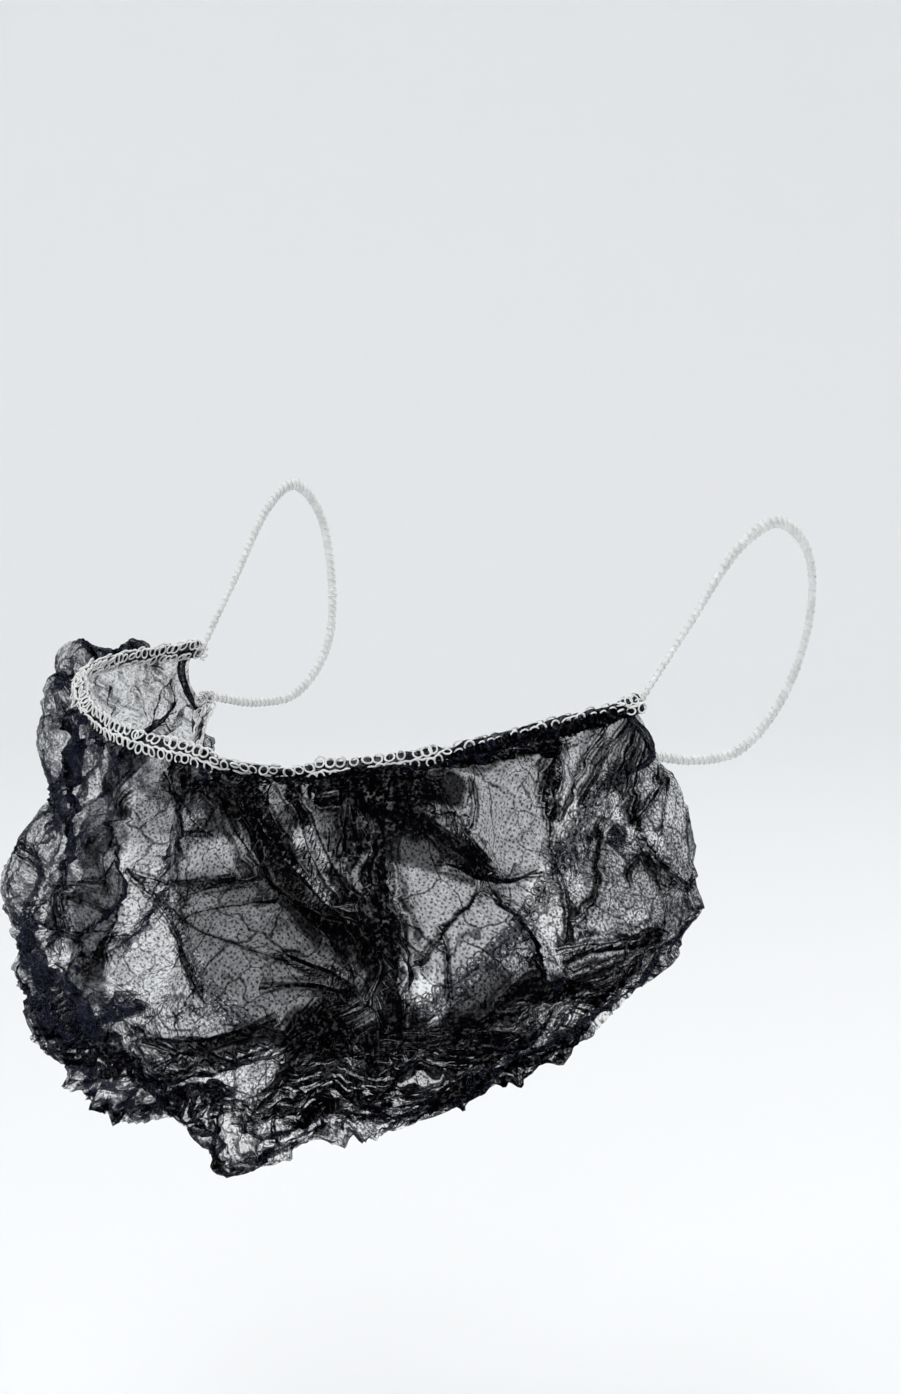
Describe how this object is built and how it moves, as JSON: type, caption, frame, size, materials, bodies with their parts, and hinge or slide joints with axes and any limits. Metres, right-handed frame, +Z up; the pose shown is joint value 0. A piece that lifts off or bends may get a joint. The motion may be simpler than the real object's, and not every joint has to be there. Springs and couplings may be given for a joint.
{
  "type": "disposable beard net",
  "caption": "Disposable beard net of thin black non-woven fabric, gathered on overlocked elastics into a pouch round the chin and jaw, with an elastic loop for each ear.",
  "frame": {"origin": "midway between the tops of the wearer's two ears, where the ear loops hang", "axes": "+Z up, -Y the way the wearer faces, +X towards the wearer's left ear"},
  "size_m": [0.1728, 0.1503, 0.1444],
  "materials": {
    "net_fabric": "matte",
    "elastic": "matte"
  },
  "bodies": {
    "root": {"net_pouch": "net_fabric", "rim_elastic": "elastic", "chin_elastic": "elastic", "ear_loop_left": "elastic", "ear_loop_right": "elastic"}
  },
  "joints": []
}
